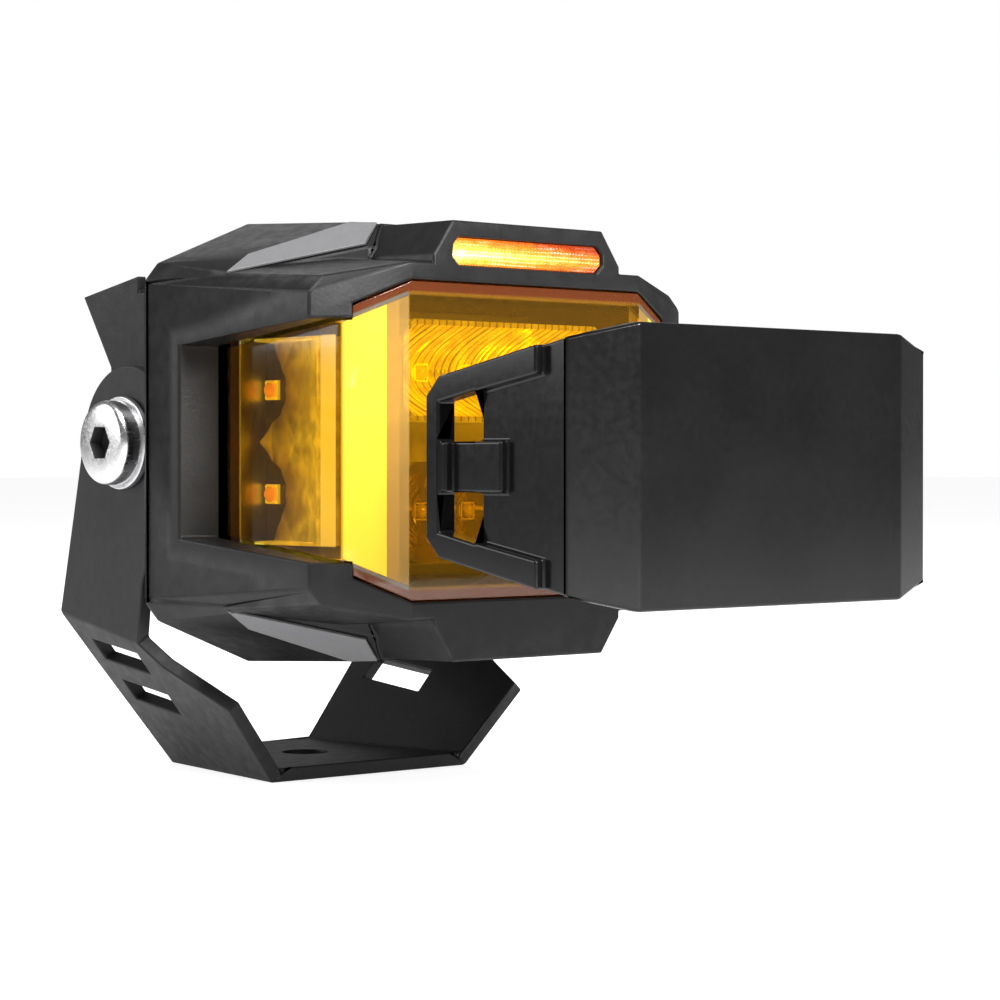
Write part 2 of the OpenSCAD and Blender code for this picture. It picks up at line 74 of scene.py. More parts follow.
def light_scene():
    """White to the camera, dim all round for the object, so that the soft boxes shape it."""
    world = bpy.data.worlds.new("studio")
    world.use_nodes = True
    tree = world.node_tree
    around = tree.nodes["Background"]
    around.inputs["Color"].default_value = (1, 1, 1, 1)
    around.inputs["Strength"].default_value = 0.16
    seen = tree.nodes.new("ShaderNodeBackground")
    seen.inputs["Color"].default_value = (1, 1, 1, 1)
    seen.inputs["Strength"].default_value = 1.0
    path = tree.nodes.new("ShaderNodeLightPath")
    mixed = tree.nodes.new("ShaderNodeMixShader")
    tree.links.new(path.outputs["Is Camera Ray"], mixed.inputs[0])
    tree.links.new(around.outputs[0], mixed.inputs[1])
    tree.links.new(seen.outputs[0], mixed.inputs[2])
    tree.links.new(mixed.outputs[0], tree.nodes["World Output"].inputs["Surface"])
    SCENE.world = world
    soft_box("key", (-0.35, -0.25, 0.85), (0, -0.02, 0.06), 0.55, 0.55, 8)
    soft_box("front", (0.12, -1.15, 0.52), (0, -0.05, 0.06), 0.34, 0.45, 22)
    soft_box("back", (-0.55, 0.55, 0.35), (0, 0, 0.06), 0.3, 0.5, 1.6)
    soft_box("rim", (0.75, 0.90, 0.75), (0, 0, 0.06), 0.8, 0.4, 0.8)
    SCENE.view_settings.view_transform = "Standard"


def lay_floor():
    """A white floor. What it sends back to the object is dimmer than what the camera sees."""
    bm = bmesh.new()
    bmesh.ops.create_grid(bm, x_segments=8, y_segments=8, size=12)
    mesh = bpy.data.meshes.new("floor")
    bm.to_mesh(mesh)
    bm.free()
    floor = bpy.data.objects.new("floor", mesh)
    SCENE.collection.objects.link(floor)
    white = (0.80, 0.80, 0.80)
    made, tree, shader = plain("floor_white", white, 0.6)
    shader.inputs["Emission Color"].default_value = (1, 1, 1, 1)
    seen = node(tree, "ShaderNodeLightPath").outputs["Is Camera Ray"]
    to_object, to_camera = 0.22, 0.82
    tree.links.new(remap(tree, seen, 0.0, 1.0, to_object, to_camera), shader.inputs["Emission Strength"])
    grain(tree, shader, white, 0.01, 40, 0.6, 0.03)
    mesh.materials.append(made)


# ---------------------------------------------------------------- materials
def plain(name, colour, rough, metal=0.0, **sockets):
    made = bpy.data.materials.new(name)
    made.use_nodes = True
    shader = made.node_tree.nodes["Principled BSDF"]
    shader.inputs["Base Color"].default_value = (*colour, 1)
    shader.inputs["Roughness"].default_value = rough
    shader.inputs["Metallic"].default_value = metal
    for key, value in sockets.items():
        shader.inputs[key.replace("_", " ")].default_value = value
    return made, made.node_tree, shader


def node(tree, kind, **values):
    made = tree.nodes.new(kind)
    for key, value in values.items():
        if key in made.inputs:
            made.inputs[key].default_value = value
        else:
            setattr(made, key, value)
    return made


def coordinates(tree):
    return node(tree, "ShaderNodeTexCoord").outputs["Object"]


def noise(tree, scale, detail=4, stretch=None):
    made = node(tree, "ShaderNodeTexNoise", Scale=scale, Detail=detail, Roughness=0.55)
    where = coordinates(tree)
    if stretch:
        mapping = node(tree, "ShaderNodeMapping")
        mapping.inputs["Scale"].default_value = stretch
        tree.links.new(where, mapping.inputs["Vector"])
        where = mapping.outputs["Vector"]
    tree.links.new(where, made.inputs["Vector"])
    return made.outputs["Fac"]


def remap(tree, source, low, high, to_low, to_high):
    made = node(tree, "ShaderNodeMapRange")
    for key, value in (("From Min", low), ("From Max", high), ("To Min", to_low), ("To Max", to_high)):
        made.inputs[key].default_value = value
    tree.links.new(source, made.inputs["Value"])
    return made.outputs["Result"]


def maths(tree, operation, first, second=0.5):
    made = node(tree, "ShaderNodeMath", operation=operation)
    for socket, value in ((made.inputs[0], first), (made.inputs[1], second)):
        if isinstance(value, (int, float)):
            socket.default_value = value
        else:
            tree.links.new(value, socket)
    return made.outputs[0]


def ramp(tree, source, stops):
    made = node(tree, "ShaderNodeValToRGB")
    band = made.color_ramp
    while len(band.elements) < len(stops):
        band.elements.new(0.5)
    for element, (position, colour) in zip(band.elements, stops):
        element.position = position
        element.color = (*colour, 1)
    tree.links.new(source, made.inputs["Fac"])
    return made.outputs["Color"]


def mix_colour(tree, factor, first, second):
    made = node(tree, "ShaderNodeMix", data_type="RGBA")
    tree.links.new(factor, made.inputs[0])
    for socket, value in ((made.inputs[6], first), (made.inputs[7], second)):
        if isinstance(value, tuple):
            socket.default_value = (*value, 1)
        else:
            tree.links.new(value, socket)
    return made.outputs[2]


def bump(tree, shader, height, strength, distance):
    made = node(tree, "ShaderNodeBump", Strength=strength, Distance=distance)
    tree.links.new(height, made.inputs["Height"])
    tree.links.new(made.outputs["Normal"], shader.inputs["Normal"])


def scaled(colour, k):
    return tuple(min(1.0, c * k) for c in colour)


def grain(tree, shader, colour, spread, scale, rough, rough_spread, stretch=None):
    """Uneven colour and roughness at one scale. Returns the noise for a bump."""
    fine = noise(tree, scale, 5, stretch)
    tone = ramp(tree, fine, [(0.3, scaled(colour, 1 - spread)), (0.7, scaled(colour, 1 + spread))])
    tree.links.new(tone, shader.inputs["Base Color"])
    broad = noise(tree, scale * 0.21, 3, stretch)
    gloss = remap(tree, broad, 0.3, 0.7, rough - rough_spread, rough + rough_spread)
    tree.links.new(gloss, shader.inputs["Roughness"])
    return fine


def powder_coat(name, colour, rough, edge):
    """Matt powder coat: fine orange peel, slight patches and lighter, rubbed edges."""
    made, tree, shader = plain(name, colour, rough, Specular_IOR_Level=0.30)
    peel = noise(tree, 1500, 3)
    patches = noise(tree, 55, 3)
    tone = ramp(tree, patches, [(0.3, scaled(colour, 0.88)), (0.7, scaled(colour, 1.12))])
    pointed = node(tree, "ShaderNodeNewGeometry").outputs["Pointiness"]
    on_edges = remap(tree, pointed, 0.52, 0.60, 0.0, 1.0)
    worn = remap(tree, noise(tree, 240, 4), 0.4, 0.62, 0.1, 0.8)
    rubbed = maths(tree, "MULTIPLY", on_edges, worn)
    tree.links.new(mix_colour(tree, rubbed, tone, edge), shader.inputs["Base Color"])
    gloss = remap(tree, noise(tree, 420, 4), 0.3, 0.7, rough - 0.06, rough + 0.08)
    tree.links.new(gloss, shader.inputs["Roughness"])
    bump(tree, shader, peel, 0.22, 0.00012)
    return made


def metal(name, colour, rough, scale, stretch, depth=0.10):
    """Turned or rolled bare metal with fine directional marks."""
    made, tree, shader = plain(name, colour, rough, 1.0)
    marks = grain(tree, shader, colour, 0.08, scale, rough, 0.07, stretch)
    bump(tree, shader, marks, depth, 0.00005)
    return made


def moulded(name, colour, rough, spread=0.15, coat=0.0, scale=900, depth=0.12):
    """Moulded plastic or rubber with a faint texture."""
    made, tree, shader = plain(name, colour, rough, Coat_Weight=coat, Coat_Roughness=0.04)
    fine = grain(tree, shader, colour, spread, scale, rough, min(0.08, rough * 0.4))
    bump(tree, shader, fine, depth, 0.00006)
    return made


def gloss_black():
    """Polished ABS: deep black with a faint grain and haze."""
    made, tree, shader = plain("gloss_black_abs", (0.006, 0.006, 0.006), 0.16, Specular_IOR_Level=0.32)
    haze = noise(tree, 900, 4)
    tree.links.new(remap(tree, haze, 0.3, 0.7, 0.13, 0.19), shader.inputs["Roughness"])
    tone = ramp(tree, noise(tree, 60, 3), [(0.3, (0.005, 0.005, 0.005)), (0.7, (0.008, 0.008, 0.008))])
    tree.links.new(tone, shader.inputs["Base Color"])
    bump(tree, shader, noise(tree, 1100, 2), 0.02, 0.00005)
    return made


def axis_value(tree, axis):
    split = node(tree, "ShaderNodeSeparateXYZ")
    tree.links.new(coordinates(tree), split.inputs[0])
    return split.outputs[axis]


def band(tree, source, low, high, soft):
    """1 between low and high, 0 outside, with soft edges."""
    up = remap(tree, source, low - soft, low + soft, 0.0, 1.0)
    down = remap(tree, source, high - soft, high + soft, 1.0, 0.0)
    return maths(tree, "MULTIPLY", up, down)


def all_of(tree, *factors):
    """The product of masks."""
    result = factors[0]
    for factor in factors[1:]:
        result = maths(tree, "MULTIPLY", result, factor)
    return result


def layered(tree, under, over, factor):
    """One shader laid over another."""
    made = node(tree, "ShaderNodeMixShader")
    tree.links.new(factor, made.inputs[0])
    tree.links.new(under, made.inputs[1])
    tree.links.new(over, made.inputs[2])
    return made.outputs[0]


def lens_masks(tree):
    """Where on the lens each look belongs: 1 inside the region and 0 outside it. Distances are in metres."""
    x = maths(tree, "ABSOLUTE", axis_value(tree, 0), 0)
    y = axis_value(tree, 1)
    z = maths(tree, "ABSOLUTE", maths(tree, "SUBTRACT", axis_value(tree, 2), AXIS_Z), 0)
    front_half_w, front_half_h, narrowing_per_m = 0.0257, 0.0263, 0.443
    chamfer_x, lit_x, side_x = 0.0262, 0.0296, 0.0368
    chamfer_front_y, chamfer_back_y = -0.066, -0.0560
    blend = 0.0003
    past_front = maths(tree, "MAXIMUM", maths(tree, "SUBTRACT", x, front_half_w), 0.0)
    narrowing = maths(tree, "MULTIPLY", past_front, narrowing_per_m)
    # How far in from the upper or lower edge of the lens
    inside = maths(tree, "SUBTRACT", maths(tree, "SUBTRACT", front_half_h, narrowing), z)
    at_side = remap(tree, x, side_x, side_x + blend, 0.0, 1.0)
    across_chamfer = band(tree, x, chamfer_x, side_x, 0.00015)
    on_chamfer = all_of(tree, across_chamfer, band(tree, y, chamfer_front_y, chamfer_back_y, 0.0002))
    within = remap(tree, inside, 0.0021, 0.0022, 0.0, 1.0)
    corner = all_of(tree, band(tree, y, -0.0578, -0.0537, 0.00015), at_side)
    in_front = maths(tree, "SUBTRACT", 1.0, at_side)
    # The lit, tan and corner regions are where light is painted on the lens, as colour and glow.
    return {
        "edge": all_of(tree, remap(tree, inside, 0.0015, 0.0024, 1.0, 0.0), in_front),
        "tan_glow": all_of(tree, on_chamfer, within, remap(tree, x, lit_x, lit_x + blend, 1.0, 0.0)),
        "lit": all_of(tree, on_chamfer, within, remap(tree, x, lit_x, lit_x + blend, 0.0, 1.0)),
        "outline": all_of(tree, on_chamfer, band(tree, inside, 0.0014, 0.0021, 0.00008)),
        "corner": all_of(tree, corner, remap(tree, z, 0.0172, 0.0175, 1.0, 0.0)),
        "side": all_of(tree, at_side, remap(tree, y, -0.0536, -0.0532, 0.0, 1.0))}


def amber_lens():
    """Clear amber polycarbonate: see-through front and sides, red-brown edges, and a painted glow on its
    chamfers, tan strip and corner band.
    """
    made = bpy.data.materials.new("amber_polycarbonate")
    made.use_nodes = True
    tree = made.node_tree
    shader = tree.nodes["Principled BSDF"]
    mask = lens_masks(tree)
    colours = (("edge", (0.17, 0.040, 0.010)), ("tan_glow", (0.62, 0.37, 0.10)),
               ("lit", (0.95, 0.66, 0.05)), ("outline", (0.16, 0.14, 0.11)),
               ("corner", (0.80, 0.42, 0.006)), ("side", (0.08, 0.06, 0.025)))
    solid = (0.80, 0.42, 0.03)
    for region, colour in colours:
        solid = mix_colour(tree, mask[region], solid, colour)
    tree.links.new(solid, shader.inputs["Base Color"])
    shader.inputs["Coat Weight"].default_value = 0.2
    shader.inputs["Coat Roughness"].default_value = 0.03
    tree.links.new(remap(tree, noise(tree, 300, 4), 0.3, 0.7, 0.10, 0.18), shader.inputs["Roughness"])
    # Painted glow: emission on the lit chamfer, the corner band and the tan strip, though the lens is no
    # lamp.
    painted_glow = maths(tree, "MULTIPLY", mask["lit"], 0.30)
    for region, strength in (("corner", 0.32), ("tan_glow", 0.25)):
        painted_glow = maths(tree, "ADD", painted_glow, maths(tree, "MULTIPLY", mask[region], strength))
    tree.links.new(solid, shader.inputs["Emission Color"])
    tree.links.new(painted_glow, shader.inputs["Emission Strength"])
    tint = mix_colour(tree, mask["side"], (1.0, 0.82, 0.20), (0.86, 0.72, 0.46))
    clear = node(tree, "ShaderNodeBsdfTransparent")
    tree.links.new(tint, clear.inputs["Color"])
    cloudy = 0.06
    for region, share in (("lit", 0.82), ("edge", 0.70), ("tan_glow", 0.45), ("outline", 0.85), ("corner", 0.85)):
        cloudy = maths(tree, "MAXIMUM", maths(tree, "MULTIPLY", mask[region], share), cloudy)
    body = layered(tree, clear.outputs[0], shader.outputs[0], cloudy)
    gloss = node(tree, "ShaderNodeBsdfGlossy", Roughness=0.06)
    fresnel = node(tree, "ShaderNodeFresnel", IOR=1.36).outputs[0]
    outside = maths(tree, "SUBTRACT", 1.0, node(tree, "ShaderNodeNewGeometry").outputs["Backfacing"])
    finish = layered(tree, body, gloss.outputs[0], all_of(tree, fresnel, outside))
    tree.links.new(finish, tree.nodes["Material Output"].inputs["Surface"])
    return made


def reflector_metal(name, colour, painted_glow, rough, shade=None, pitch=0.0):
    """Metallised plastic with the lamp's yellow light painted on as a glow, and painted shade between its
    ribs or down in its bowls.
    """
    made, tree, shader = plain(name, colour, rough, 0.9)
    tone = ramp(tree, noise(tree, 130, 3), [(0.35, scaled(colour, 0.82)), (0.65, colour)])
    if pitch:
        # Painted shade between the ribs.
        across = maths(tree, "PINGPONG", axis_value(tree, 0), pitch / 2)
        tone = mix_colour(tree, remap(tree, across, pitch * 0.36, pitch * 0.44, 0.0, 0.8), tone, shade)
    elif shade:
        # Painted shade: darker deeper down in the bowls.
        low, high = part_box("side_reflector_right")
        room = high.x - low.x
        height = maths(tree, "ABSOLUTE", axis_value(tree, 0), 0)
        painted_deep_shade = remap(tree, height, low.x + room * 0.15, low.x + room * 0.93, 1.0, 0.0)
        tone = mix_colour(tree, painted_deep_shade, tone, shade)
    tree.links.new(tone, shader.inputs["Base Color"])
    # Painted glow: the reflector emits its own tone, though it is no lamp.
    tree.links.new(tone, shader.inputs["Emission Color"])
    light = remap(tree, noise(tree, 260, 3), 0.4, 0.7, painted_glow * 0.6, painted_glow * 1.3)
    tree.links.new(light, shader.inputs["Emission Strength"])
    haze = remap(tree, noise(tree, 600, 4), 0.3, 0.7, rough * 0.7, rough * 1.5)
    tree.links.new(haze, shader.inputs["Roughness"])
    return made


def glowing(name, colour, light, strength, rough, scale, rough_spread, **sockets):
    """A part of an LED that is lit."""
    made, tree, shader = plain(name, colour, rough, Emission_Strength=strength, **sockets)
    grain(tree, shader, colour, 0.1, scale, rough, rough_spread)
    shader.inputs["Emission Color"].default_value = (*light, 1)
    return made


def marker_glow():
    """Orange prism lens with a painted glow: brightest low on its -X half, dimmer towards the +X end."""
    made, tree, shader = plain("marker_prisms", (1.0, 0.32, 0.03), 0.12, Coat_Weight=1.0)
    front_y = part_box("marker_lens")[0].y
    # The level below is painted light: it sets the lens's colour and glow, falling off along x and away from
    # mid height.
    x = remap(tree, axis_value(tree, 0), -0.017, 0.017, 0.0, 1.0)
    z = remap(tree, axis_value(tree, 2), AXIS_Z + 0.0294, AXIS_Z + 0.0340, 0.0, 1.0)
    off_centre = maths(tree, "ABSOLUTE", maths(tree, "SUBTRACT", z, 0.40), 0)
    along_loss = maths(tree, "MULTIPLY", x, 0.52)
    across_loss = maths(tree, "MULTIPLY", off_centre, 0.95)
    painted_glow_level = maths(tree, "SUBTRACT", 1.0, maths(tree, "ADD", along_loss, across_loss))
    spots = remap(tree, noise(tree, 700, 2), 0.35, 0.7, -0.08, 0.08)
    painted_glow_level = maths(tree, "ADD", painted_glow_level, spots)
    tone = ramp(tree, painted_glow_level, [(0.10, (0.42, 0.045, 0.004)), (0.42, (1.0, 0.22, 0.012)),
                             (0.70, (1.0, 0.50, 0.06)), (0.98, (1.0, 0.86, 0.42))])
    tree.links.new(tone, shader.inputs["Base Color"])
    tree.links.new(tone, shader.inputs["Emission Color"])
    # Painted highlight: the prism peaks glow brighter than the hollows between them.
    peak_glow = remap(tree, axis_value(tree, 1), front_y, front_y + 0.00026, 1.25, 0.30)
    strength = maths(tree, "MULTIPLY", remap(tree, painted_glow_level, 0.1, 0.9, 0.25, 1.05), peak_glow)
    tree.links.new(strength, shader.inputs["Emission Strength"])
    return made


# ---------------------------------------------------------------- meshes
def add_piece(name, mesh, body, materials, stands_for):
    made = bpy.data.objects.new(name, mesh)
    SCENE.collection.objects.link(made)
    for material in materials:
        mesh.materials.append(material)
    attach(made, body)
    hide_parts(*stands_for)
    return made


def settle(piece):
    """Applies the modifiers on a piece to its mesh."""
    graph = bpy.context.evaluated_depsgraph_get()
    mesh = bpy.data.meshes.new_from_object(piece.evaluated_get(graph))
    piece.modifiers.clear()
    piece.data = mesh


def clean_copy(name, merge):
    """The CAD mesh with its doubled points merged and its flat faces joined."""
    flat = math.radians(0.8)
    bm = bmesh.new()
    bm.from_mesh(NODES[name].data)
    bmesh.ops.remove_doubles(bm, verts=bm.verts, dist=merge)
    bmesh.ops.dissolve_degenerate(bm, dist=merge, edges=bm.edges)
    bmesh.ops.dissolve_limit(bm, angle_limit=flat, verts=bm.verts, edges=bm.edges)
    return bm


def rounded(name, body, material, width, segments=3, angle=25, merge=2.5e-5):
    """A CAD node again, with its sharp edges rounded."""
    bm = clean_copy(name, merge)
    for face in bm.faces:
        face.smooth = True
    mesh = bpy.data.meshes.new(name + "_shape")
    bm.to_mesh(mesh)
    bm.free()
    piece = add_piece(name + "_finished", mesh, body, [material], [name])
    edge = piece.modifiers.new("edges", "BEVEL")
    edge.width, edge.segments = width, segments
    edge.limit_method, edge.angle_limit = "ANGLE", math.radians(angle)
    edge.use_clamp_overlap = False
    edge.miter_outer = "MITER_SHARP"
    edge.harden_normals = True
    weights = piece.modifiers.new("normals", "WEIGHTED_NORMAL")
    weights.weight = 100
    weights.keep_sharp = True
    settle(piece)
    hold_to_surface(piece, name, 0.75 * width)


def hold_to_surface(piece, name, reach):
    """Brings back any rounded corner that strays from the CAD surface."""
    source = NODES[name].data
    places = [v.co for v in source.vertices]
    surface = BVHTree.FromPolygons(places, [f.vertices for f in source.polygons])
    for vert in piece.data.vertices:
        place, _, _, away = surface.find_nearest(vert.co)
        if away > reach:
            vert.co = place


def finish_bmesh(bm, name):
    bmesh.ops.recalc_face_normals(bm, faces=bm.faces)
    mesh = bpy.data.meshes.new(name)
    bm.to_mesh(mesh)
    bm.free()
    return mesh


def smooth_by_angle(mesh, degrees):
    for face in mesh.polygons:
        face.use_smooth = True
    mesh.set_sharp_from_angle(angle=math.radians(degrees))


def relief(bm, us, vs, point, depth_floor):
    """A closed block whose top follows point(u, v) and whose base is flat at depth_floor(u, v)."""
    top = [[bm.verts.new(point(u, v)) for v in vs] for u in us]
    base = [[bm.verts.new(depth_floor(u, v)) for v in vs] for u in us]
    for i in range(len(us) - 1):
        for j in range(len(vs) - 1):
            bm.faces.new((top[i][j], top[i + 1][j], top[i + 1][j + 1], top[i][j + 1]))
            bm.faces.new((base[i][j], base[i][j + 1], base[i + 1][j + 1], base[i + 1][j]))
    for i in range(len(us) - 1):
        for j in (0, len(vs) - 1):
            bm.faces.new((top[i][j], top[i + 1][j], base[i + 1][j], base[i][j]))
    for j in range(len(vs) - 1):
        for i in (0, len(us) - 1):
            bm.faces.new((top[i][j], top[i][j + 1], base[i][j + 1], base[i][j]))


def spread(low, high, count):
    return [low + (high - low) * i / (count - 1) for i in range(count)]


def row_reflector(node_name, material):
    """A trough with cut corners: a curved mirror across its height, pressed into upright flutes."""
    low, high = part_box(node_name)
    mid_z, half_z = (low.z + high.z) / 2, (high.z - low.z) / 2
    half_x = high.x
    front, back = low.y, high.y
    rim = 0.0009
    cut = 0.0034
    pitch = 0.0042

    def fitted(u, v):
        """Pulls the corners in, so that the outline has cut corners."""
        reach = half_z - max(0.0, abs(u) - (half_x - cut)) * 0.95
        return u, max(-reach, min(reach, v * reach / half_z))

    def point(u, v):
        x, z = fitted(u, v)
        inner_x, inner_z = (half_x - rim - abs(u)), (half_z - rim - abs(v))
        if inner_x < 0 or inner_z < 0:
            return Vector((x, front, mid_z + z))
        across = min(1.0, abs(v) / (half_z - rim))
        along = min(1.0, inner_x / 0.0075)
        depth = (1 - across ** 2) * (1 - (1 - along) ** 2.2)
        saw = (abs(u) / pitch) % 1.0
        ripple = (0.00075 * saw + 0.00010 * math.sin(8 * math.pi * saw)) * min(1.0, inner_x / 0.002)
        flute = ripple * (0.2 + 0.8 * across) * min(1.0, depth * 4)
        return Vector((x, front + (back - 0.0003 - front) * depth - flute, mid_z + z))

    def floor_point(u, v):
        x, z = fitted(u, v)
        return Vector((x, back, mid_z + z))

    bm = bmesh.new()
    us = [-half_x] + spread(-half_x + rim, half_x - rim, 231) + [half_x]
    vs = [-half_z] + spread(-half_z + rim, half_z - rim, 37) + [half_z]
    relief(bm, us, vs, point, floor_point)
    mesh = finish_bmesh(bm, node_name)
    smooth_by_angle(mesh, 32)
    return add_piece(node_name + "_fluted", mesh, "lamp", [material], [node_name])


def side_bowls(node_name, material):
    """The front halves of two bowls around the side LEDs, which meet in a cusp between the LEDs."""
    low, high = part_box(node_name)
    sign = 1 if high.x > 0 else -1
    outer = high.x if sign > 0 else low.x
    inner = low.x if sign > 0 else high.x
    mid_z, half_z = (low.z + high.z) / 2, (high.z - low.z) / 2
    room = abs(outer - inner)
    led_y, led_z, reach = -0.0283, 0.009, 0.0229

    def fitted(u, v):
        """The rear edge runs to a point at mid height and stands clear round each LED."""
        off = abs(v - mid_z)
        tip = 0.0042 * max(0.0, 1 - off / 0.0048)
        clear = 0.0022 * max(0.0, 1 - ((off - led_z) / 0.0055) ** 2)
        rear = high.y + tip - clear
        share = (u - low.y) / (high.y - low.y)
        return low.y + share * (rear - low.y)

    def point(u, v):
        y = fitted(u, v)
        away = min(math.hypot(y - led_y, v - mid_z - c) for c in (-led_z, led_z))
        turn = math.atan2(abs(v - mid_z) - led_z, led_y - y)
        facet = 0.00030 * abs(math.sin(5 * turn))
        rise = min(room, 0.0007 + room * max(0.0, away / reach) ** 1.3 - facet)
        if y < low.y + 0.0006 or abs(v - mid_z) > half_z - 0.0006:
            rise = room
        return Vector((inner + sign * rise, y, v))

    bm = bmesh.new()
    us, vs = spread(low.y, high.y, 71), spread(low.z, high.z, 161)
    relief(bm, us, vs, point, lambda u, v: Vector((inner, fitted(u, v), v)))
    mesh = finish_bmesh(bm, node_name)
    smooth_by_angle(mesh, 22)
    return add_piece(node_name + "_bowls", mesh, "lamp", [material], [node_name])


def box_faces(bm, centre, size, matrix, index, bevel=0.0):
    made = bmesh.ops.create_cube(bm, size=1)
    for vert in made["verts"]:
        local = Vector((vert.co.x * size[0], vert.co.y * size[1], vert.co.z * size[2]))
        vert.co = matrix @ (local + Vector(centre))
    faces = {f for v in made["verts"] for f in v.link_faces}
    for face in faces:
        face.material_index = index
    if bevel:
        edges = {e for v in made["verts"] for e in v.link_edges}
        bmesh.ops.bevel(bm, geom=list(edges), offset=bevel, segments=2, affect="EDGES", profile=0.5)


def led(bm, place):
    """A square package with a raised frame, contact pads, a phosphor square and a dome, facing local +Z."""
    package_w, frame_w, phosphor_w, strip_w = 0.0034, 0.0031, 0.0021, 0.0003
    frame_out, pad_out = 0.00140, 0.00118
    top_z, frame_z, thin = 0.00064, 0.00075, 0.00012
    dome_r, dome_z, dome_squash = 0.00135, 0.0007, 0.93
    box_faces(bm, (0, 0, 0.00030), (package_w, package_w, 0.0006), place, 0, 0.00008)
    for sx, sy in ((1, 0), (-1, 0), (0, 1), (0, -1)):
        size = (strip_w, frame_w, strip_w) if sx else (frame_w, strip_w, strip_w)
        box_faces(bm, (sx * frame_out, sy * frame_out, frame_z), size, place, 0, 0.00005)
    box_faces(bm, (0, 0, top_z), (phosphor_w, phosphor_w, thin), place, 1)
    for sx in (-1, 1):
        for sy in (-1, 1):
            box_faces(bm, (sx * pad_out, sy * pad_out, top_z), (strip_w, strip_w, thin), place, 2)
    dome = bmesh.ops.create_uvsphere(bm, u_segments=32, v_segments=16, radius=dome_r)
    for vert in dome["verts"]:
        flat = max(vert.co.z, 0.0)
        vert.co = place @ Vector((vert.co.x, vert.co.y, dome_z + flat * dome_squash))
    for face in {f for v in dome["verts"] for f in v.link_faces}:
        face.material_index = 1
        face.smooth = True


def led_group(node_name, places, materials):
    bm = bmesh.new()
    for place in places:
        led(bm, place)
    mesh = finish_bmesh(bm, node_name)
    return add_piece(node_name + "_packages", mesh, "lamp", materials, [node_name])


def marker_prisms(material):
    """The marker lens: a plate with cut corners, its face pressed into a grid of small pyramids."""
    low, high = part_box("marker_lens")
    half_x, mid_z, half_z = high.x, (low.z + high.z) / 2, (high.z - low.z) / 2
    cut = 0.0014
    across, rows = 46, 7
    us = spread(-half_x, half_x, 2 * across + 1)
    vs = spread(-half_z, half_z, 2 * rows + 1)

    def fitted(u, v):
        reach = half_x - max(0.0, abs(v) - (half_z - cut))
        return u * reach / half_x, v

    def point(u, v):
        x, z = fitted(u, v)
        peak = round((u + half_x) / (us[1] - us[0])) % 2 and round((v + half_z) / (vs[1] - vs[0])) % 2
        return Vector((x, low.y + (0.0 if peak else 0.00028), mid_z + z))

    def floor_point(u, v):
        x, z = fitted(u, v)
        return Vector((x, high.y, mid_z + z))

    bm = bmesh.new()
    relief(bm, us, vs, point, floor_point)
    mesh = finish_bmesh(bm, "marker_prisms")
    return add_piece("marker_lens_prisms", mesh, "lamp", [material], ["marker_lens"])


def revolve(bm, outline, place, steps):
    """Turns (radius, height) points about local Z."""
    rings = []
    for radius, height in outline:
        if radius < 1e-7:
            rings.append([bm.verts.new(place @ Vector((0, 0, height)))])
        else:
            rings.append([bm.verts.new(place @ Vector((radius * math.cos(2 * math.pi * i / steps),
                                                       radius * math.sin(2 * math.pi * i / steps), height)))
                          for i in range(steps)])
    for first, second in zip(rings, rings[1:]):
        for i in range(steps):
            j = (i + 1) % steps
            corners = [first[i % len(first)], first[j % len(first)],
                       second[j % len(second)], second[i % len(second)]]
            unique = list(dict.fromkeys(corners))
            if len(unique) > 2:
                bm.faces.new(unique)


def button_bolt(material, dark):
    """Two button-head bolts with a hexagon socket, a rounded crown and a turned rim."""
    low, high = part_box("pivot_bolts")
    radius = (high.z - low.z) / 2
    under = high.x - 0.004
    edge_r, socket_rim_r = 0.0013, 0.0040
    shank_r, root_r = 0.004, 0.00375
    socket_mouth, socket_size, socket_depth = 0.00325, 0.00306, 0.0024
    steps = 96
    bm = bmesh.new()
    crown = [(radius - edge_r + edge_r * math.sin(math.radians(d)),
              under + 0.0025 + edge_r * math.cos(math.radians(d))) for d in (90, 75, 60, 45, 30, 15, 4)]
    crown.append((socket_rim_r, under + 0.0040))
    flat_h = crown[-1][1]
    for sign in (1, -1):
        place = Matrix.Translation((0, 0, AXIS_Z)) @ Matrix.Rotation(sign * math.pi / 2, 4, "Y")
        outline = [(0, 0.0255), (0.0036, 0.0255), (shank_r, 0.0260)]
        outline += [(shank_r if i % 2 else root_r, h) for i, h in enumerate(spread(0.0262, 0.0360, 20))]
        outline += [(shank_r, 0.0362), (shank_r, under), (radius - 0.0004, under), (radius, under + 0.0004)]
        outline += crown
        revolve(bm, outline, place, steps)
        bm.verts.ensure_lookup_table()
        rim = [bm.verts[-steps + i] for i in range(steps)]
        hexagon = []
        for height in (flat_h, flat_h - 0.0003, flat_h - socket_depth):
            size = socket_mouth if height == flat_h else socket_size
            ring = []
            for i in range(steps):
                turn = 2 * math.pi * i / steps
                local = (turn + math.pi / 6) % (math.pi / 3) - math.pi / 6
                r = size * math.cos(math.pi / 6) / math.cos(local)
                ring.append(bm.verts.new(place @ Vector((r * math.cos(turn), r * math.sin(turn), height))))
            hexagon.append(ring)
        floor_vert = bm.verts.new(place @ Vector((0, 0, flat_h - socket_depth - 0.0005)))
        for first, second in zip([rim] + hexagon, hexagon):
            for i in range(steps):
                j = (i + 1) % steps
                face = bm.faces.new((first[i], first[j], second[j], second[i]))
                face.material_index = 0 if second is hexagon[0] else 1
        for i in range(steps):
            face = bm.faces.new((hexagon[-1][i], hexagon[-1][(i + 1) % steps], floor_vert))
            face.material_index = 1
    mesh = finish_bmesh(bm, "pivot_bolts")
    smooth_by_angle(mesh, 30)
    return add_piece("pivot_bolts_button", mesh, "lamp", [material, dark], ["pivot_bolts"])


